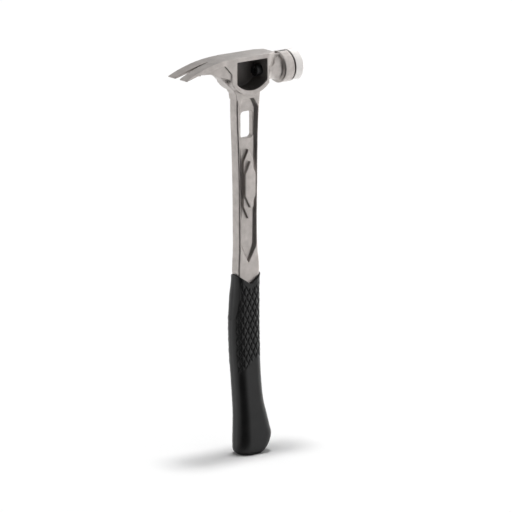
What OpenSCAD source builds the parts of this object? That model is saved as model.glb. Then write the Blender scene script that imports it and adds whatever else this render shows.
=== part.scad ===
// Framing hammer: one-piece cast body, bolt-on striking face, slip-on rubber grip.
// Millimetres. The butt stands on Z = 0, +X is the striking side, the claw points to -X.

/* [Overall] */
// Height of the flat head top above the floor
head_top = 450; // [400:1:500]
// Height of the grip's rim at the front and back edges
grip_top = 204; // [180:1:230]
// Distance of the striking surface from the upright axis
face_reach = 62.5; // [58:0.5:70]
// Distance of the claw tips from the upright axis
claw_reach = 98; // [85:1:112]
// Depth of the striking axis below the head top
axis_drop = 20; // [19:0.5:24]

/* [Claw] */
// Width across the two claw tips
claw_width = 34; // [30:0.5:40]
// Bending radius of the claw's top
claw_radius = 160; // [130:5:220]
// Distance behind the upright axis where the bend starts
bend_start = 30; // [26:1:34]
// Thickness of a claw tip
tip_thick = 1.4; // [1:0.1:2.5]
// Length of the thin wedge behind the tips
tip_length = 16; // [12:0.5:20]
// Thickness of the claw at the end of that wedge
wedge_thick = 3.8; // [3:0.1:5]
// Thickness of the claw where it runs into the cheeks
claw_thick = 10.6; // [9:0.2:13]
// Opening of the nail slot at the tips
slot_mouth = 7.7; // [6:0.1:9]
// Length of the nail slot along the claw
slot_length = 40; // [30:1:45]
// Depth of the flat on each side of the claw
flat_depth = 1.8; // [1:0.1:2.5]
// Width of the band left above that flat
band_width = 6; // [4:0.5:8]

/* [Cheeks] */
// Thickness of the head across the cheeks
head_thick = 28; // [25:0.5:32]
// Back edge of the cheeks behind the upright axis
cheek_back = 34; // [32:0.5:38]
// Front edge of the cheeks before the upright axis
cheek_front = 17; // [15:0.5:19]
// Radius of the cheeks' round lower edge
cheek_r = 33; // [31:0.5:36]
// Offset of that radius behind the upright axis
cheek_offset = 7; // [5:0.5:9]
// Depth of that radius's centre below the head top
cheek_drop = 10; // [8:0.5:12]
// Wall around the bolt window
window_wall = 5; // [4:0.5:7]
// Wall that closes the window on the far side
back_wall = 4; // [3:0.5:6]
// Wall between the window and the neck, on which the bolt's head sits
seat_wall = 3; // [2.5:0.5:5]
// Overhang of the roof over the neck
roof_length = 10; // [7:0.5:12]
// Taper of the roof on each side of that overhang
roof_taper = 4; // [2:0.5:6]

/* [Poll and face] */
// Diameter of the collar and of the striking face
face_d = 35.4; // [32:0.2:38]
// Length of the collar
collar_length = 14; // [12:0.5:17]
// Smallest diameter of the neck behind the collar
neck_d = 24.4; // [22:0.2:26]
// Flare of the neck at its two ends
neck_flare = 1.4; // [1:0.1:2]
// Bevel round the back of the collar
collar_bevel = 2.2; // [1:0.1:3]
// Thickness of the striking face in front of the joint ring
face_thick = 11.8; // [9:0.2:14]
// Bevel round the striking surface
face_bevel = 1.5; // [0.8:0.1:2.5]
// Thickness of the joint ring
ring_thick = 1.2; // [0.8:0.1:2]
// Step of the joint ring below the collar
ring_step = 1.4; // [0.8:0.1:2.5]
// Diameter of the spigot that centres the face in the collar
spigot_d = 20; // [16:0.5:22]
// Length of that spigot
spigot_length = 11; // [8:0.5:11.5]
// Spacing of the milled grooves on the face
mill_pitch = 3.2; // [2.5:0.1:5]
// Depth of the milled grooves
mill_depth = 0.9; // [0.5:0.1:1.2]

/* [Face bolt] */
// Thread diameter
bolt_d = 8; // [6:0.5:9]
// Diameter of the head
bolt_head_d = 13; // [11:0.5:14]
// Height of the head
bolt_head_h = 8; // [6:0.5:9]
// Length under the head
bolt_length = 40; // [36:0.5:43]
// Width across flats of the hex socket
socket_af = 6; // [5:0.5:7]
// Depth of the hex socket
socket_depth = 4; // [3:0.5:5]
// Running clearance round the thread and the spigot
run_gap = 0.05; // [0.02:0.01:0.1]
// Clearance round the bolt in the neck and at the bottom of the holes
free_gap = 0.3; // [0.2:0.05:0.6]

/* [Nail starter] */
// Length of the magnet bar
magnet_length = 9; // [7:0.5:9.5]
// Width of the magnet bar
magnet_width = 4; // [3:0.2:5]
// Height of the magnet bar
magnet_height = 3; // [2:0.2:4]
// Depth of the bar's top below the collar
magnet_sink = 0.4; // [0.2:0.1:0.8]
// Radius of the groove the nail lies in
groove_r = 2.2; // [1.5:0.1:3]
// Width of the rib that carries the groove to the collar
rib_width = 12; // [9:0.5:14]
// Step from the roof down to that rib
rib_step = 4; // [3:0.5:5]

/* [Handle] */
// Narrowest width of the handle, seen from the side
handle_width = 25.6; // [23:0.2:29]
// Thickness of the handle across its rims
handle_thick = 14; // [12:0.5:16]
// Rounding of the rims' outer edges
rim_round = 2.6; // [1:0.1:4]
// Thickness of the web between the recesses
web_thick = 7; // [5:0.5:9]
// Width of a rim
rim_width = 2.6; // [2:0.1:4]
// Run of the sloping side of the recess
recess_slope = 3.6; // [2:0.2:4.5]
// Length of the recess's pointed lower end
recess_point = 19; // [12:1:24]
// Height of that end above the grip
recess_low = 12; // [8:1:20]
// Length of the hanging slot
hang_length = 30; // [24:1:34]
// Width of the hanging slot
hang_width = 16.5; // [12:0.5:17]
// Rounding of the slot's corners
hang_round = 4; // [2:0.5:7]
// Depth of the slot's middle below the head top
hang_drop = 78; // [74:1:84]
// Depth of the plate's middle below the head top
plate_drop = 144; // [136:1:152]
// Width of the raised plate
plate_width = 13.6; // [10:0.2:15]
// Length of the raised plate between its points
plate_length = 52; // [44:1:60]
// Length of the lower step under the plate
step_length = 78; // [64:1:84]
// Height of the plate above the rims, on both sides
plate_rise = 3.6; // [1:0.2:5]
// Run of the handle's sweep back under the claw
gusset_run = 23; // [18:0.5:26]

/* [Grip] */
// Width of the grip, seen from the side
grip_width = 36; // [32:0.5:40]
// Thickness of the grip at its middle
grip_thick = 26; // [24:0.5:30]
// Depth of the V in the rim, on the two sides
grip_vee = 10; // [6:0.5:14]
// Depth of the handle's end below the rim
sleeve_depth = 16; // [14:0.5:20]
// Thickness of the tang inside the grip
tang_thick = 10; // [8:0.5:12]
// Width of the tang inside the grip
tang_width = 18; // [14:0.5:20]
// Rubber left under the end of the tang
butt_floor = 24; // [14:1:30]
// Glue gap between tang and grip
glue_gap = 0.05; // [0.02:0.01:0.1]

/* [Hidden] */
$fn = 64;
eps = 0.01;
axis_z = head_top - axis_drop;
face_r = face_d / 2;
neck_r = neck_d / 2;
face_back = face_reach - face_thick;
collar_front = face_back - ring_thick;
collar_back = collar_front - collar_length;
cheek_y = head_thick / 2;
seat_x = cheek_front - seat_wall;
roof_end = cheek_front + roof_length;
rib_top = head_top - rib_step;
web_y = web_thick / 2;
rim_y = handle_thick / 2;
neck_z = head_top - cheek_drop - cheek_r;
handle_low = grip_top - sleeve_depth;
handle_mid = -handle_width / 4;

// Handle: share of the way from grip to head, then back and front edge in handle widths.
handle_shape = [
  [-0.1, -0.7, 0.2], [0.015, -0.785, 0.375], [0.14, -0.745, 0.29], [0.28, -0.75, 0.25],
  [0.47, -0.765, 0.27], [0.69, -0.81, 0.29], [0.88, -0.875, 0.34], [1.02, -0.885, 0.44]
];

// Grip: share of its height, then back and front edge in grip widths, and thickness in middle thicknesses.
grip_shape = [
  [0, -0.43, 0.36, 0.8], [0.02, -0.55, 0.5, 0.98], [0.05, -0.572, 0.62, 1.06], [0.1, -0.57, 0.706, 1.09],
  [0.15, -0.565, 0.64, 1.07], [0.22, -0.565, 0.53, 1.04], [0.3, -0.59, 0.41, 1.01], [0.42, -0.645, 0.33, 1],
  [0.58, -0.715, 0.285, 1], [0.74, -0.742, 0.268, 0.98], [0.86, -0.7, 0.275, 0.92], [0.93, -0.66, 0.282, 0.85],
  [1, -0.652, 0.335, 0.74]
];

// Smooth curve through the rows of a shape: value of column c at share t.
function segment(rows, t) = max([for (i = [0 : len(rows) - 2]) if (i == 0 || t >= rows[i][0]) i]);
function slope(rows, i, c) =
  let (a = max(i - 1, 0), b = min(i + 1, len(rows) - 1)) (rows[b][c] - rows[a][c]) / (rows[b][0] - rows[a][0]);
function curve(rows, t, c) =
  let (
    i = segment(rows, t),
    d = rows[i + 1][0] - rows[i][0],
    u = (t - rows[i][0]) / d,
    p = rows[i][c],
    q = rows[i + 1][c],
    m = slope(rows, i, c) * d,
    n = slope(rows, i + 1, c) * d
  )
  (2 * u * u * u - 3 * u * u + 1) * p + (u * u * u - 2 * u * u + u) * m
    + (3 * u * u - 2 * u * u * u) * q + (u * u * u - u * u) * n;

// Back and front edges of the handle and of the grip at height z.
function handle_share(z) = (z - grip_top) / (neck_z - grip_top);
function handle_back(z) = handle_width * curve(handle_shape, handle_share(z), 1);
function handle_front(z) = handle_width * curve(handle_shape, handle_share(z), 2);
function grip_back(z) = grip_width * curve(grip_shape, z / grip_top, 1);
function grip_front(z) = grip_width * curve(grip_shape, z / grip_top, 2);
function grip_deep(z) = grip_thick * curve(grip_shape, z / grip_top, 3);
function grip_mid(z) = (grip_back(z) + grip_front(z)) / 2;

// Height of the claw's top over x.
function claw_top(x) = head_top - eps * 8 - claw_radius + sqrt(pow(claw_radius, 2) - pow(x + bend_start, 2));

// Ring of a rounded rectangle at height z, with k steps round each corner.
function ring(z, back, front, thick, r, k) = [
  for (q = [0 : 3], j = [0 : k])
    let (
      a = 90 * q + 90 * j / k,
      x = (q == 0 || q == 3) ? front - r : back + r,
      y = (q < 2 ? 1 : -1) * (thick / 2 - r)
    )
    [x + r * cos(a), y + r * sin(a), z]
];

// Closed skin over a pile of rings with the same count of points.
module loft(rings) {
  n = len(rings[0]);
  last = len(rings) - 1;
  polyhedron(
    points = [for (r = rings) each r],
    faces = concat(
      [[for (j = [0 : n - 1]) j]],
      [[for (j = [n - 1 : -1 : 0]) last * n + j]],
      [for (i = [0 : last - 1], j = [0 : n - 1]) [i * n + (j + 1) % n, i * n + j, (i + 1) * n + j]],
      [for (i = [0 : last - 1], j = [0 : n - 1]) [i * n + (j + 1) % n, (i + 1) * n + j, (i + 1) * n + (j + 1) % n]]
    )
  );
}

// Stands an outline drawn as (x, z) upright, w thick and centred on the middle plane.
module upright(w) {
  rotate([90, 0, 0]) linear_extrude(w, center = true) children();
}

// Lays a round shape drawn along +Z onto the striking axis, from x on.
module on_axis(x) {
  translate([x, 0, axis_z]) rotate([0, 90, 0]) children();
}

module rounded_box(w, h, r) {
  square([w - 2 * r, h], center = true);
  square([w, h - 2 * r], center = true);
  for (x = [-1, 1], z = [-1, 1])
    translate([x * (w / 2 - r), z * (h / 2 - r)]) circle(r, $fn = 32);
}

// Six-sided outline, pointed at the top and bottom.
module hexagon(w, long) {
  side = long / 2 - w;
  polygon([[0, long / 2], [w / 2, side], [w / 2, -side], [0, -long / 2], [-w / 2, -side], [-w / 2, side]]);
}

// Claw from the side: the bent top, a thin wedge at the tips, then thicker towards the cheeks.
module claw_outline() {
  wedge_x = tip_length - claw_reach;
  heel_x = slot_length - claw_reach - 4;
  intersection() {
    translate([-bend_start, claw_top(-bend_start) - claw_radius]) circle(claw_radius, $fn = 240);
    polygon([
      [-claw_reach, claw_top(-claw_reach) - tip_thick], [wedge_x, claw_top(wedge_x) - wedge_thick],
      [heel_x, claw_top(heel_x) - claw_thick], [-cheek_back, axis_z - 4], [-cheek_offset, axis_z - 4],
      [-cheek_offset, head_top], [-claw_reach, head_top]
    ]);
  }
}

module claw() {
  root_x = slot_length - claw_reach;
  root_r = slot_mouth / 8;
  difference() {
    intersection() {
      upright(2 * claw_width) claw_outline();
      linear_extrude(head_top + 1) difference() {
        polygon([
          [-claw_reach, claw_width / 2], [-cheek_back, cheek_y], [0, cheek_y],
          [0, -cheek_y], [-cheek_back, -cheek_y], [-claw_reach, -claw_width / 2]
        ]);
        polygon([
          [-claw_reach - 1, slot_mouth / 2], [root_x, root_r],
          [root_x, -root_r], [-claw_reach - 1, -slot_mouth / 2]
        ]);
        translate([root_x, 0]) circle(root_r, $fn = 24);
      }
    }
    claw_flats();
  }
}

// The flat on each side of the claw, open underneath, stepped against the cheek.
module claw_flats() {
  step_x = -cheek_back - 0.94 * claw_thick;
  low = axis_z - 0.4 * axis_drop;
  far_x = 1.25 * tip_length - claw_reach;
  for (s = [-1, 1])
    translate([0, s * (cheek_y - flat_depth + claw_width / 2), 0])
      upright(claw_width) polygon([
        [far_x, low], [far_x, claw_top(far_x) - 0.6 * band_width], [step_x, claw_top(step_x) - band_width],
        [-cheek_back, axis_z + 0.13 * axis_drop], [-cheek_back, low]
      ]);
}

// Outline of the cheeks, d inside the outer one.
module cheek_outline(d, back, front, top) {
  low = neck_z - d;
  intersection() {
    translate([-cheek_offset, head_top - cheek_drop]) circle(cheek_r - d, $fn = 128);
    translate([-back, low]) square([back + front, top - low]);
  }
}

module cheeks() {
  roof_y = cheek_y - roof_taper;
  upright(head_thick) cheek_outline(0, cheek_back, cheek_front, head_top);
  // The roof runs on over the neck and narrows towards the collar.
  translate([0, 0, axis_z + 5]) linear_extrude(axis_drop - 5)
    polygon([
      [0, cheek_y], [cheek_front, cheek_y], [roof_end, roof_y],
      [roof_end, -roof_y], [cheek_front, -cheek_y], [0, -cheek_y]
    ]);
  // A rib carries the nail groove from the roof to the collar.
  translate([0, -rib_width / 2, axis_z]) cube([collar_back + collar_bevel, rib_width, rib_top - axis_z]);
}

// Window in the near cheek, closed on the far side.
module window() {
  back = cheek_back - window_wall - 2;
  translate([0, -back_wall / 2 - 1, 0])
    upright(head_thick - back_wall + 2) cheek_outline(window_wall, back, seat_x, head_top - window_wall);
}

// Neck and collar in one turned profile.
module poll() {
  on_axis(0) rotate_extrude() polygon([
    [0, seat_x - seat_wall], [neck_r + neck_flare, seat_x - seat_wall], [neck_r + neck_flare, cheek_front],
    [neck_r, cheek_front + 4.5], [neck_r, collar_back - 7], [neck_r + 0.7 * neck_flare, collar_back - 2],
    [face_r - 1.5 * collar_bevel, collar_back], [face_r - 0.5 * collar_bevel, collar_back + 0.3 * collar_bevel],
    [face_r, collar_back + collar_bevel], [face_r, collar_front - 0.5], [face_r - 0.5, collar_front], [0, collar_front]
  ]);
}

// Seat and body of the magnet bar: side gap g, extra height above.
module magnet_bar(g, extra) {
  translate([collar_front - magnet_length - 1 - g, -magnet_width / 2 - g, axis_z + face_r - magnet_sink - magnet_height])
    cube([magnet_length + 2 * g, magnet_width + 2 * g, magnet_height + extra]);
}

module nail_starter_cut() {
  start = roof_end - 0.8 * roof_length;
  translate([start, 0, rib_top]) rotate([0, 90, 0])
    cylinder(r = groove_r, h = collar_back + collar_bevel - start, $fn = 32);
  magnet_bar(glue_gap, face_r);
}

// Handle from its end in the grip up to the cheeks, g larger all round.
module handle_bar(g) {
  steps = 22;
  top = neck_z + cheek_r / 6;
  loft([
    for (i = [0 : steps])
      let (z = handle_low + (top - handle_low) * i / steps)
      ring(z, handle_back(z) - g, handle_front(z) + g, handle_thick + 2 * g, rim_round, 4)
  ]);
}

// The handle sweeps back to the heel of the claw.
module gusset() {
  back = handle_back(neck_z);
  low = neck_z - gusset_run / 4;
  upright(handle_thick) polygon([
    [back - gusset_run, axis_z], [back - 0.18 * gusset_run, neck_z + 0.24 * gusset_run],
    [back - 0.04 * gusset_run, neck_z + 0.04 * gusset_run], [back, low], [0, low], [0, axis_z]
  ]);
}

// One side of the recess: wide at the rims, narrower at the web, pointed at its lower end.
module recess_outline(inset) {
  top = neck_z - 0.08 * handle_width - inset / 2;
  low = grip_top + recess_low + recess_point + inset / 2;
  slant = top - 0.47 * handle_width;
  polygon([
    [handle_mid, low - recess_point], [handle_front(low) - inset, low], [handle_front(slant) - inset, slant],
    [handle_mid + 0.27 * handle_width - inset / 2, top], [handle_mid - 0.35 * handle_width + inset / 2, top],
    [handle_back(slant) + inset, slant], [handle_back(low) + inset, low]
  ]);
}

module recesses() {
  for (s = [-1, 1]) hull() {
    translate([0, s * (rim_y + 0.5), 0]) upright(1) recess_outline(rim_width);
    translate([0, s * (web_y + 0.05), 0]) upright(0.1) recess_outline(rim_width + recess_slope);
  }
}

// Stepped six-sided plate on both sides of the web.
module plates() {
  translate([handle_mid, 0, head_top - plate_drop]) {
    upright(handle_thick) hexagon(plate_width, step_length);
    upright(handle_thick + 2 * plate_rise) hexagon(plate_width, plate_length);
  }
}

// Tang along the middle line of the grip, g larger all round.
module tang(g) {
  half = tang_width / 2 + g;
  top = handle_low + 0.1 * tang_thick;
  heights = [for (i = [0 : 8]) butt_floor + (top - butt_floor) * i / 8];
  upright(tang_thick + 2 * g) polygon(concat(
    [for (z = heights) [grip_mid(z) - half, z]],
    [for (i = [8 : -1 : 0]) [grip_mid(heights[i]) + half, heights[i]]]
  ));
}

module body() {
  color("silver") {
    difference() {
      union() {
        claw();
        cheeks();
        poll();
        gusset();
        difference() {
          handle_bar(0);
          recesses();
        }
      }
      window();
      nail_starter_cut();
      on_axis(seat_x - 1) cylinder(d = bolt_d + 2 * free_gap, h = collar_front);
      on_axis(collar_front + ring_thick - spigot_length - free_gap)
        cylinder(d = spigot_d + 2 * run_gap, h = spigot_length + free_gap);
      translate([handle_mid, 0, head_top - hang_drop])
        upright(2 * handle_thick) rounded_box(hang_width, hang_length, hang_round);
    }
    plates();
    tang(0);
  }
}

// Crossed V grooves on the striking surface.
module milling() {
  count = floor((face_r - 2 * face_bevel) / mill_pitch);
  side = mill_depth * sqrt(2);
  for (turn = [0, 90], i = [-count : count])
    on_axis(face_reach) rotate([0, 0, turn]) translate([i * mill_pitch, 0, 0])
      rotate([0, 45, 0]) cube([side, face_d + 2, side], center = true);
}

module face() {
  spigot_r = spigot_d / 2;
  spigot_back = face_back - spigot_length;
  color("gainsboro") difference() {
    on_axis(0) rotate_extrude() polygon([
      [0, spigot_back], [spigot_r - 0.5, spigot_back], [spigot_r, spigot_back + 0.5], [spigot_r, face_back],
      [face_r - 0.6, face_back], [face_r, face_back + 0.6], [face_r, face_reach - face_bevel],
      [face_r - face_bevel, face_reach], [0, face_reach]
    ]);
    on_axis(spigot_back - 1)
      cylinder(d = bolt_d + 2 * run_gap, h = seat_x + bolt_length + free_gap - spigot_back + 1);
    milling();
  }
}

module joint_ring() {
  color("black") on_axis(collar_front) difference() {
    cylinder(r = face_r - ring_step, h = ring_thick);
    translate([0, 0, -1]) cylinder(d = spigot_d + 2 * run_gap, h = ring_thick + 2);
  }
}

module bolt() {
  head_x = seat_x - bolt_head_h;
  color("dimgray") difference() {
    union() {
      on_axis(head_x) cylinder(d = bolt_head_d, h = bolt_head_h);
      on_axis(seat_x - eps) cylinder(d = bolt_d, h = bolt_length + eps);
    }
    on_axis(head_x - 1) cylinder(d = socket_af / cos(30), h = socket_depth + 1, $fn = 6);
  }
}

module magnet() {
  color("black") magnet_bar(0, 0);
}

// Soft sleeve over the tang and the end of the handle, with a V in its rim on both sides.
module grip() {
  steps = 26;
  color("#202020") difference() {
    loft([
      for (i = [0 : steps])
        let (z = grip_top * pow(i / steps, 1.35), t = grip_deep(z))
        ring(z, grip_back(z), grip_front(z), t, 0.44 * t, 7)
    ]);
    tang(glue_gap);
    handle_bar(glue_gap);
    upright(4 * grip_thick) polygon([
      [-grip_width, grip_top + 0.05 * grip_vee], [handle_mid, grip_top - grip_vee],
      [grip_width, grip_top + 0.55 * grip_vee], [0, grip_top + grip_vee]
    ]);
  }
}

body();
face();
joint_ring();
bolt();
magnet();
grip();
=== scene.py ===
import math

import bpy
import numpy as np
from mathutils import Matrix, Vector


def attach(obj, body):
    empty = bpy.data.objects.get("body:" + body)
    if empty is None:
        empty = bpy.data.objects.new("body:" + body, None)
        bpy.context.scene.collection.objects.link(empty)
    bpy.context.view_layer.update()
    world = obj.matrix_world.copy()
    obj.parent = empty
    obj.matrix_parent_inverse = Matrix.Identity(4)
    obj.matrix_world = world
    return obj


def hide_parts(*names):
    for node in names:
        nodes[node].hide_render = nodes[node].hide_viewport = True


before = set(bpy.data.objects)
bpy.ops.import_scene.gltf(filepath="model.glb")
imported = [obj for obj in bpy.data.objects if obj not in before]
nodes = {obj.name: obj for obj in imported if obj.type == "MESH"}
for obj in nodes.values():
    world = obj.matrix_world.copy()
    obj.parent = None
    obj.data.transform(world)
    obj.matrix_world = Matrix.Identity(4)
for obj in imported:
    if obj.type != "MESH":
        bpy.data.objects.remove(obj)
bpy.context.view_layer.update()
scene = bpy.context.scene
scene.view_settings.view_transform = "Standard"
MM = 0.001

# Camera: the photograph's angle, from far away.
AZIMUTH = math.radians(-37.5)
ELEVATION = math.radians(13.65)
DISTANCE = 8.0
TARGET = Vector((0.00904, 0.0, 0.2215))
SENSOR = 36.0
PIXELS_PER_METRE = 912.0
FRAME_PIXELS = 512.0

# Grip, in millimetres: share of its height, back and front edge in widths, thickness in middle thicknesses.
GRIP_TOP = 206.0
GRIP_WIDTH = 36.0
GRIP_THICK = 26.0
GRIP_ROUND = 0.44
GRIP_VEE = 12.5
VEE_X = -4.48
VEE_STEEP_BACK = 1.6
VEE_STEEP_FRONT = 2.1
GRIP_SHAPE = (
    (0.0, -0.4, 0.36, 0.8),
    (0.02, -0.52, 0.5, 0.98),
    (0.05, -0.542, 0.62, 1.06),
    (0.1, -0.54, 0.706, 1.09),
    (0.15, -0.535, 0.64, 1.07),
    (0.22, -0.535, 0.53, 1.04),
    (0.3, -0.56, 0.41, 1.01),
    (0.42, -0.615, 0.33, 1.0),
    (0.58, -0.685, 0.285, 1.0),
    (0.74, -0.712, 0.268, 0.98),
    (0.86, -0.67, 0.275, 0.92),
    (0.93, -0.63, 0.282, 0.85),
    (1.0, -0.622, 0.335, 0.74),
)

# Diamonds of the grip, in millimetres. A pair of values is where a form starts and where it is full.
DIAMOND_WIDE = 6.8
DIAMOND_TALL = 12.4
GROOVE_DEEP = 0.8
GROOVE_EDGE = (0.3, 1.0)
CROWN_HIGH = 0.35
CROWN_EDGE = (0.6, 2.6)

# Field that the diamonds fill, in millimetres: its slanting lower end, back edge and the band under the rim.
FIELD_LOW = 110.0
FIELD_DROP = 18.0
FIELD_DROP_START = 10.0
FIELD_DROP_WIDE = 26.0
FIELD_DROP_BEND = 1.4
FIELD_LOW_EDGE = (0.0, 5.0)
FIELD_BACK_EDGE = (7.0, 10.0)
RIM_BAND_EDGE = (4.5, 6.5)

# Thumb pad at the back of the grip: half sizes in millimetres, and edges in shares of them.
PAD_WIDE = 10.8
PAD_TALL = 28.5
PAD_Z = 182.0
PAD_SINK = 0.2
PAD_EDGE = (0.93, 1.02)
PAD_BORDER = (1.04, 1.16)

# Lip of the grip's rim, in millimetres: depth below the rim and distance inside the outer skin.
GRIP_LIP = ((-0.35, 0.6), (-0.3, 2.0), (0.3, 2.6), (6.0, 2.7))

# Face bolt, in millimetres along the striking axis.
AXIS_Z = 430.0
BOLT_HEAD = 6.0
BOLT_SEAT = 14.0
BOLT_END = 54.0
HEAD_RADIUS = 6.5
SHANK_RADIUS = 3.98
SOCKET_HALF = 3.0
SOCKET_DEPTH = 4.0
THREAD_START = BOLT_SEAT + 12.0
THREAD_DEPTH = 0.7
PITCH = 1.25
KNURL_DEPTH = 0.22
KNURL_COUNT = 28
TIP_LENGTH = 0.6
TIP_BACK_RADIUS = 3.2
TIP_FRONT_RADIUS = 2.9

# Inside of the bolt window, where shade is painted, in millimetres: a box round it, and the radius of the
# cheeks' round lower edge.
POCKET_MIDDLE = Vector((-6.5, -0.5, 424.0))
POCKET_HALF = Vector((22.5, 12.0, 24.0))
CHEEK_MIDDLE = Vector((-7.0, 0.0, 440.0))
POCKET_RADIUS = 31.0
# Painted shade inside the bolt window: where it fades in, its colour and how metallic it is.
POCKET_SHADE_EDGE = (0.94, 1.0)
POCKET_SHADE_COLOUR = (0.11, 0.1, 0.095)
POCKET_SHADE_METALLIC = 0.15
TITANIUM_METALLIC = 0.9


def direction(azimuth, elevation):
    """Unit vector from the object towards a camera at these angles."""
    level = math.cos(elevation)
    return Vector((math.sin(azimuth) * level, -math.cos(azimuth) * level, math.sin(elevation)))


def smooth(x, low, high):
    """Smooth step of an array from 0 at low to 1 at high."""
    t = np.clip((x - low) / (high - low), 0.0, 1.0)
    return t * t * (3.0 - 2.0 * t)


# Materials


class Nodes:
    """A node tree with a short way to add and link nodes."""

    def __init__(self, tree):
        self.tree = tree
        tree.nodes.clear()

    def add(self, kind, inputs=None, **settings):
        node = self.tree.nodes.new(kind)
        for key, value in settings.items():
            setattr(node, key, value)
        for key, value in (inputs or {}).items():
            if isinstance(value, bpy.types.NodeSocket):
                self.tree.links.new(value, node.inputs[key])
            else:
                node.inputs[key].default_value = value
        return node

    def noise(self, place, scale, detail=3.0, roughness=0.55):
        made = self.add("ShaderNodeTexNoise", {"Scale": scale, "Detail": detail, "Roughness": roughness})
        self.tree.links.new(place, made.inputs["Vector"])
        return made.outputs["Fac"]

    def spread(self, value, low, high, start=0.3, end=0.7):
        made = self.add(
            "ShaderNodeMapRange",
            {"Value": value, "From Min": start, "From Max": end, "To Min": low, "To Max": high},
        )
        return made.outputs["Result"]

    def tint(self, factor, first, second):
        made = self.add("ShaderNodeMix", {"Factor": factor}, data_type="RGBA")
        ends = [s for s in made.inputs if s.type == "RGBA"]
        for socket, colour in zip(ends, (first, second)):
            if isinstance(colour, bpy.types.NodeSocket):
                self.tree.links.new(colour, socket)
            else:
                socket.default_value = (*colour, 1.0)
        return [s for s in made.outputs if s.type == "RGBA"][0]

    def vector(self, operation, first, second=None):
        made = self.add("ShaderNodeVectorMath", operation=operation)
        self.tree.links.new(first, made.inputs[0])
        if second is not None:
            made.inputs[1].default_value = second
        return made.outputs["Value" if operation in ("DOT_PRODUCT", "LENGTH") else "Vector"]

    def larger(self, first, second):
        made = self.add("ShaderNodeMath", operation="MAXIMUM")
        self.tree.links.new(first, made.inputs[0])
        self.tree.links.new(second, made.inputs[1])
        return made.outputs["Value"]

    def box_share(self, place, middle, half):
        """How far a place lies from the middle of a box, in its half sizes."""
        offset = self.vector("SUBTRACT", place, middle * MM)
        scaled = self.vector("ABSOLUTE", self.vector("DIVIDE", offset, half * MM))
        parts = self.add("ShaderNodeSeparateXYZ", {"Vector": scaled}).outputs
        return self.larger(self.larger(parts["X"], parts["Y"]), parts["Z"])

    def round_share(self, place, middle, radius):
        """How far a place lies from an axis along Y, in radii."""
        offset = self.vector("SUBTRACT", place, middle * MM)
        flat = self.vector("MULTIPLY", offset, Vector((1.0, 0.0, 1.0)) / (radius * MM))
        return self.vector("LENGTH", flat)

    def bump(self, height, strength, distance):
        made = self.add("ShaderNodeBump", {"Height": height, "Strength": strength, "Distance": distance})
        return made.outputs["Normal"]


def new_material(name):
    made = bpy.data.materials.new(name)
    made.use_nodes = True
    nodes_of = Nodes(made.node_tree)
    place = nodes_of.add("ShaderNodeTexCoord").outputs["Object"]
    shader = nodes_of.add("ShaderNodeBsdfPrincipled")
    nodes_of.add("ShaderNodeOutputMaterial", {"Surface": shader.outputs["BSDF"]})
    return made, nodes_of, place, shader


def finish_nodes(name, dark, light, rough, metallic, patch, grain, bump, depth, gloss=0.5):
    """A material with patchy colour and gloss and a fine grain, with its nodes."""
    made, tree, place, shader = new_material(name)
    cloud = tree.noise(place, patch)
    speck = tree.noise(place, grain, 2.0)
    link = tree.tree.links.new
    colour = tree.tint(tree.spread(cloud, 0.0, 1.0), dark, light)
    link(colour, shader.inputs["Base Color"])
    link(tree.spread(speck, rough[0], rough[1]), shader.inputs["Roughness"])
    link(tree.bump(speck, bump, depth), shader.inputs["Normal"])
    shader.inputs["Metallic"].default_value = metallic
    shader.inputs["Specular IOR Level"].default_value = gloss
    return made, tree, place, shader, colour


def finish(name, **look):
    return finish_nodes(name, **look)[0]


def cast_titanium():
    """Blasted casting, with painted shade inside the bolt window: darker and less metallic there.
    Blasted casting, with a dull dark skin inside the bolt window, which is a guess.
    """
    made, tree, place, shader, colour = finish_nodes(
        "cast_titanium", dark=(0.4, 0.37, 0.352), light=(0.51, 0.475, 0.453), rough=(0.3, 0.42),
        metallic=TITANIUM_METALLIC, patch=110.0, grain=1300.0, bump=0.35, depth=0.0005,
    )
    in_box = tree.box_share(place, POCKET_MIDDLE, POCKET_HALF)
    in_round = tree.round_share(place, CHEEK_MIDDLE, POCKET_RADIUS)
    far = tree.larger(in_box, in_round)
    # Painted shade: the inside of the bolt window is darker and less metallic.
    pocket_shade = tree.spread(far, 1.0, 0.0, *POCKET_SHADE_EDGE)
    link = tree.tree.links.new
    link(tree.tint(pocket_shade, colour, POCKET_SHADE_COLOUR), shader.inputs["Base Color"])
    shade_metallic = tree.spread(far, POCKET_SHADE_METALLIC, TITANIUM_METALLIC, *POCKET_SHADE_EDGE)
    link(shade_metallic, shader.inputs["Metallic"])
    return made


TITANIUM = cast_titanium()
STEEL = finish(
    "satin_steel", dark=(0.6, 0.58, 0.57), light=(0.68, 0.66, 0.64), rough=(0.3, 0.38), metallic=1.0,
    patch=60.0, grain=2200.0, bump=0.08, depth=0.0002,
)
BLACK_STEEL = finish(
    "black_oxide", dark=(0.02, 0.02, 0.021), light=(0.035, 0.035, 0.036), rough=(0.3, 0.42), metallic=0.6,
    patch=150.0, grain=2500.0, bump=0.1, depth=0.0002,
)
BLACK_COAT = finish(
    "black_coat", dark=(0.018, 0.018, 0.018), light=(0.03, 0.03, 0.03), rough=(0.35, 0.5), metallic=0.0,
    patch=150.0, grain=2500.0, bump=0.1, depth=0.0002,
)
# Near-black rough finish for the ring in the joint between collar and face.
JOINT_BLACK = finish(
    "ring_rubber", dark=(0.02, 0.02, 0.02), light=(0.035, 0.034, 0.033), rough=(0.6, 0.75), metallic=0.0,
    patch=120.0, grain=1800.0, bump=0.2, depth=0.0003,
)
GRIP_RUBBER = finish(
    "grip_rubber", dark=(0.005, 0.005, 0.0052), light=(0.009, 0.009, 0.0092), rough=(0.34, 0.44),
    metallic=0.0, patch=60.0, grain=1600.0, bump=0.12, depth=0.0003, gloss=0.36,
)


# Pieces


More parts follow.
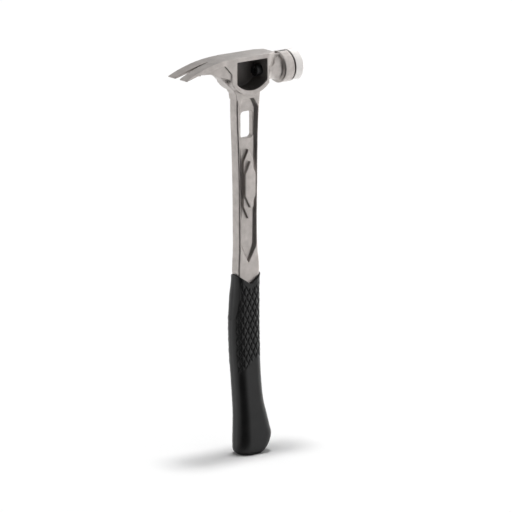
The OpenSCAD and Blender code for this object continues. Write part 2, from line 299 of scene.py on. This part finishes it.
def soften(name, voxel, steps, material):
    """Rounds a solid's edges as casting and tumbling leave them, and gives it its finish."""
    piece = nodes[name]
    remesh = piece.modifiers.new("round", "REMESH")
    remesh.mode = "VOXEL"
    remesh.voxel_size = voxel * MM
    remesh.use_smooth_shade = True
    relax = piece.modifiers.new("relax", "SMOOTH")
    relax.factor = 0.5
    relax.iterations = steps
    piece.data.materials.clear()
    piece.data.materials.append(material)


def mesh_piece(name, points, faces, material, body, replaced):
    """A new piece from points in millimetres, which rides on a body and stands for a solid."""
    mesh = bpy.data.meshes.new(name)
    mesh.from_pydata((points * MM).tolist(), [], faces)
    mesh.update()
    mesh.polygons.foreach_set("use_smooth", [True] * len(mesh.polygons))
    mesh.materials.append(material)
    piece = bpy.data.objects.new(name, mesh)
    scene.collection.objects.link(piece)
    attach(piece, body)
    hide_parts(replaced)


def tube_faces(rings, around):
    """Quads between rings of points, closed with a face at each end."""
    faces = [tuple(range(around))]
    for i in range(rings - 1):
        for j in range(around):
            k = (j + 1) % around
            faces.append((i * around + j, (i + 1) * around + j, (i + 1) * around + k, i * around + k))
    faces.append(tuple(range(rings * around - 1, (rings - 1) * around - 1, -1)))
    return faces


def curve(rows, share, column):
    """Smooth curve through a column of rows, at shares of the way."""
    table = np.array(rows)
    at, value = table[:, 0], table[:, column]
    slope = np.empty(len(at))
    slope[1:-1] = (value[2:] - value[:-2]) / (at[2:] - at[:-2])
    slope[0] = (value[1] - value[0]) / (at[1] - at[0])
    slope[-1] = (value[-1] - value[-2]) / (at[-1] - at[-2])
    i = np.clip(np.searchsorted(at, share, side="right") - 1, 0, len(at) - 2)
    step = at[i + 1] - at[i]
    u = (share - at[i]) / step
    return (
        (2 * u**3 - 3 * u**2 + 1) * value[i]
        + (u**3 - 2 * u**2 + u) * slope[i] * step
        + (3 * u**2 - 2 * u**3) * value[i + 1]
        + (u**3 - u**2) * slope[i + 1] * step
    )


def rounded_outline(back, front, thick, radius, share):
    """Point, outward normal and half girth on a rounded box at shares of the way round from the back."""
    side = np.where(share > 0.5, 1.0, -1.0)
    half = 1.0 - np.abs(1.0 - 2.0 * share)
    flat = thick / 2 - radius
    long = front - back - 2 * radius
    corner = radius * math.pi / 2
    girth = 2 * flat + 2 * corner + long
    s = half * girth
    a1 = np.clip((s - flat) / radius, 0, math.pi / 2)
    a2 = np.clip((s - flat - corner - long) / radius, 0, math.pi / 2)
    along = np.clip(s - flat - corner, 0, long)
    x = back + radius * (1 - np.cos(a1)) + along + radius * np.sin(a2)
    y = np.minimum(s, flat) + radius * np.sin(a1) - radius * (1 - np.cos(a2))
    y = y - np.clip(s - flat - 2 * corner - long, 0, flat)
    turn = a1 + a2
    return x, side * y, -np.cos(turn), side * np.sin(turn), girth, s


def build_grip():
    """Rubber sleeve: rings close together where the diamonds are, up to a V shaped rim with a lip."""
    around = 340
    butt, waist = 0.04, 0.42
    levels = np.concatenate([
        np.linspace(0.0, butt, 14)[:-1], np.linspace(butt, waist, 70)[:-1], np.linspace(waist, 1.0, 330)
    ])
    share = np.arange(around) / around
    # Height of the V shaped rim over each column.
    top = grip_outline(np.full(around, GRIP_TOP), share)
    offset = top[0] - VEE_X
    rise_back = VEE_STEEP_BACK * GRIP_VEE / (GRIP_WIDTH + VEE_X)
    rise_front = VEE_STEEP_FRONT * GRIP_VEE / (GRIP_WIDTH - VEE_X)
    rim = GRIP_TOP - GRIP_VEE + np.where(offset < 0, -offset * rise_back, offset * rise_front)
    rim = np.minimum(rim, GRIP_TOP)
    z = levels[:, None] * rim[None, :]
    x, y, nx, ny, girth, arc = grip_outline(z, share[None, :])
    height = grip_relief(arc, girth - arc, z, rim[None, :] - z)
    points = np.stack([x + nx * height, y + ny * height, z], axis=-1)
    inner = []
    for drop, wall in GRIP_LIP:
        lx, ly, lnx, lny, _, _ = grip_outline(rim - drop, share)
        inner.append(np.stack([lx - lnx * wall, ly - lny * wall, rim - drop], axis=-1))
    points = np.concatenate([points, np.array(inner)])
    faces = tube_faces(len(points), around)
    mesh_piece("grip_sleeve", points.reshape(-1, 3), faces, GRIP_RUBBER, "hammer", "grip")


def grip_outline(z, share):
    """Points of the grip's plain skin at heights z and shares of the way round."""
    t = z / GRIP_TOP
    thick = GRIP_THICK * curve(GRIP_SHAPE, t, 3)
    back = GRIP_WIDTH * curve(GRIP_SHAPE, t, 1)
    front = GRIP_WIDTH * curve(GRIP_SHAPE, t, 2)
    return rounded_outline(back, front, thick, GRIP_ROUND * thick, share)


def grip_relief(from_back, from_front, z, below_rim):
    """Moulded relief of the grip: diamonds on its sides and front, a smooth thumb pad at the back."""
    a = from_front / DIAMOND_WIDE + z / DIAMOND_TALL
    b = from_front / DIAMOND_WIDE - z / DIAMOND_TALL
    scale = 1.0 / math.hypot(1 / DIAMOND_WIDE, 1 / DIAMOND_TALL)
    near = np.minimum(np.abs(a - np.round(a)), np.abs(b - np.round(b))) * scale
    groove = 1.0 - smooth(near, *GROOVE_EDGE)
    crown = CROWN_HIGH * smooth(near, *CROWN_EDGE)
    along = (z - PAD_Z) / PAD_TALL
    oval = np.hypot(from_back / PAD_WIDE, along)
    slant = np.clip((from_back - FIELD_DROP_START) / FIELD_DROP_WIDE, 0, 1)
    low = FIELD_LOW - FIELD_DROP * (1.0 - slant) ** FIELD_DROP_BEND
    patch = (
        smooth(from_back, *FIELD_BACK_EDGE)
        * smooth(oval, *PAD_BORDER)
        * smooth(z - low, *FIELD_LOW_EDGE)
        * smooth(below_rim, *RIM_BAND_EDGE)
    )
    # The pad is flatter than the round back: lower at the ridge, higher at its sides.
    flatter = 1.0 - 2.0 * (1.0 - np.clip(from_back / PAD_WIDE, 0, 1) ** 2)
    pad = (1.0 - smooth(oval, *PAD_EDGE)) * (flatter * np.clip(1.0 - along**2, 0, 1) - PAD_SINK)
    return patch * (crown - GROOVE_DEEP * groove) + pad


def build_bolt():
    """Socket head screw: knurled head, hex socket, plain shank and a rolled thread."""
    around = 192
    turn = np.arange(around) * 2 * math.pi / around
    circle = np.ones(around)
    socket = SOCKET_HALF / np.cos((turn + math.pi / 6) % (math.pi / 3) - math.pi / 6)
    knurl = HEAD_RADIUS - KNURL_DEPTH * np.abs(np.sin(turn * KNURL_COUNT))
    bevel = HEAD_RADIUS - 0.2
    # Place and radius of each ring, from the socket's floor out over the bevelled head to the shank.
    rings = [
        (BOLT_HEAD + SOCKET_DEPTH, socket),
        (BOLT_HEAD + 0.5, socket),
        (BOLT_HEAD + 0.1, socket + 0.35),
        (BOLT_HEAD, circle * (HEAD_RADIUS - 1.0)),
        (BOLT_HEAD + 0.15, circle * (HEAD_RADIUS - 0.6)),
        (BOLT_HEAD + 0.7, circle * bevel),
        (BOLT_HEAD + 0.95, knurl),
        (BOLT_SEAT - 1.1, knurl),
        (BOLT_SEAT - 0.8, circle * bevel),
        (BOLT_SEAT - 0.2, circle * bevel),
        (BOLT_SEAT - 0.02, circle * (HEAD_RADIUS - 0.5)),
        (BOLT_SEAT - 0.01, circle * SHANK_RADIUS),
        (THREAD_START, circle * SHANK_RADIUS),
    ]
    for x in np.arange(THREAD_START + 0.1, BOLT_END - 0.9, PITCH / 8):
        phase = (x / PITCH - turn / (2 * math.pi)) % 1.0
        depth = THREAD_DEPTH * (1.0 - np.abs(2 * phase - 1.0)) * min(1.0, (x - THREAD_START) / PITCH)
        rings.append((x, SHANK_RADIUS - depth))
    rings.append((BOLT_END - TIP_LENGTH, circle * TIP_BACK_RADIUS))
    rings.append((BOLT_END, circle * TIP_FRONT_RADIUS))
    points = np.array([
        np.stack([np.full(around, x), r * np.cos(turn), AXIS_Z + r * np.sin(turn)], axis=-1) for x, r in rings
    ])
    faces = tube_faces(len(rings), around)
    mesh_piece("face_screw", points.reshape(-1, 3), faces, BLACK_STEEL, "face_bolt", "bolt")


soften("body", 0.4, 9, TITANIUM)
soften("face", 0.22, 6, STEEL)
soften("joint_ring", 0.2, 6, JOINT_BLACK)
soften("magnet", 0.15, 5, BLACK_COAT)
build_grip()
build_bolt()


# Stage


def plain(name, colour, glow=0.0):
    """A dull even finish for the stage, which may glow."""
    made, _, _, shader = new_material(name)
    shader.inputs["Base Color"].default_value = (*colour, 1.0)
    shader.inputs["Roughness"].default_value = 0.9
    shader.inputs["Specular IOR Level"].default_value = 0.0
    shader.inputs["Emission Color"].default_value = (1.0, 1.0, 1.0, 1.0)
    shader.inputs["Emission Strength"].default_value = glow
    return made


def sheet(name, corners, material):
    """A flat stage piece with these corners."""
    mesh = bpy.data.meshes.new(name)
    mesh.from_pydata(corners, [], [tuple(range(len(corners)))])
    mesh.materials.append(material)
    made = bpy.data.objects.new(name, mesh)
    scene.collection.objects.link(made)
    return made


def mirror_only(piece):
    """Hides a stage piece from all but reflections."""
    piece.visible_camera = False
    piece.visible_diffuse = False
    piece.visible_shadow = False


def foot(azimuth, near, half):
    """The two lower corners of a card that faces the hammer."""
    towards = direction(azimuth, 0.0)
    across = Vector((-towards.y, towards.x, 0.0))
    lift = Vector((0.0, 0.0, MM))
    return towards * near - across * half + lift, towards * near + across * half + lift


REACH = 14.0
sheet(
    "floor", [(-REACH, -REACH, 0), (REACH, -REACH, 0), (REACH, REACH, 0), (-REACH, REACH, 0)],
    plain("floor_white", (0.97, 0.97, 0.97)),
)

# A dark card and apron before the camera, seen only in reflections, give metal and rubber their dark bands.
CARD_RISE = Vector((0.0, 0.0, 0.95))
CARD_AZIMUTH = AZIMUTH - math.radians(4)
CARD_NEAR = 0.4
CARD_HALF = 0.3
APRON_NEAR = 0.035
APRON_HALF = 0.05
left, right = foot(CARD_AZIMUTH, CARD_NEAR, CARD_HALF)
near_left, near_right = foot(CARD_AZIMUTH, APRON_NEAR, APRON_HALF)
black = plain("card_black", (0.02, 0.02, 0.02))
mirror_only(sheet("dark_card", [left, right, right + CARD_RISE, left + CARD_RISE], black))
mirror_only(sheet("dark_apron", [near_left, near_right, right, left], black))

# A bright card on the right, also seen only in reflections, gives the rubber its sheen.
SHINE_AZIMUTH = math.radians(102)
SHINE_NEAR = 0.45
SHINE_HALF = 0.33
SHINE_GLOW = 1.5
first, second = foot(SHINE_AZIMUTH, SHINE_NEAR, SHINE_HALF)
white = plain("card_white", (0.9, 0.9, 0.9), glow=SHINE_GLOW)
mirror_only(sheet("bright_card", [first, second, second + CARD_RISE, first + CARD_RISE], white))

# Light tent: pale all round, brightest from the right front, and dimmer as a light than in reflections.
TENT_SHARE = 0.4
TENT_LOW = 0.62
TENT_HIGH = 1.05
TENT_EDGE = (0.2, 0.95)
KEY_AZIMUTH = math.radians(42)
KEY_ELEVATION = math.radians(25)
world = bpy.data.worlds.new("tent")
scene.world = world
world.use_nodes = True
tent = Nodes(world.node_tree)
look = tent.add("ShaderNodeTexCoord").outputs["Generated"]
key = direction(KEY_AZIMUTH, KEY_ELEVATION)
lobe = tent.spread(tent.vector("DOT_PRODUCT", look, key), TENT_LOW, TENT_HIGH, *TENT_EDGE)
seen = tent.add("ShaderNodeLightPath").outputs
mirrored = tent.larger(seen["Is Camera Ray"], seen["Is Glossy Ray"])
level = tent.spread(mirrored, TENT_SHARE, 1.0, 0.0, 1.0)
strength = tent.add("ShaderNodeMath", {0: lobe, 1: level}, operation="MULTIPLY").outputs["Value"]
back = tent.add("ShaderNodeBackground", {"Color": (1.0, 1.0, 1.0, 1.0), "Strength": strength})
tent.add("ShaderNodeOutputWorld", {"Surface": back.outputs["Background"]})

# Soft light from overhead: it draws the shadow under the hammer.
SUN_LEVEL = 2.35
SUN_SPREAD = math.radians(8)
lamp = bpy.data.lights.new("overhead", "SUN")
lamp.energy = SUN_LEVEL
lamp.angle = SUN_SPREAD
overhead = bpy.data.objects.new("overhead", lamp)
overhead.visible_glossy = False
scene.collection.objects.link(overhead)

camera = bpy.data.cameras.new("camera")
camera.sensor_width = SENSOR
camera.lens = SENSOR * PIXELS_PER_METRE * DISTANCE / FRAME_PIXELS
camera.clip_end = 100.0
eye = bpy.data.objects.new("camera", camera)
scene.collection.objects.link(eye)
view = direction(AZIMUTH, ELEVATION)
eye.location = TARGET + view * DISTANCE
eye.rotation_euler = view.to_track_quat("Z", "Y").to_euler()
scene.camera = eye
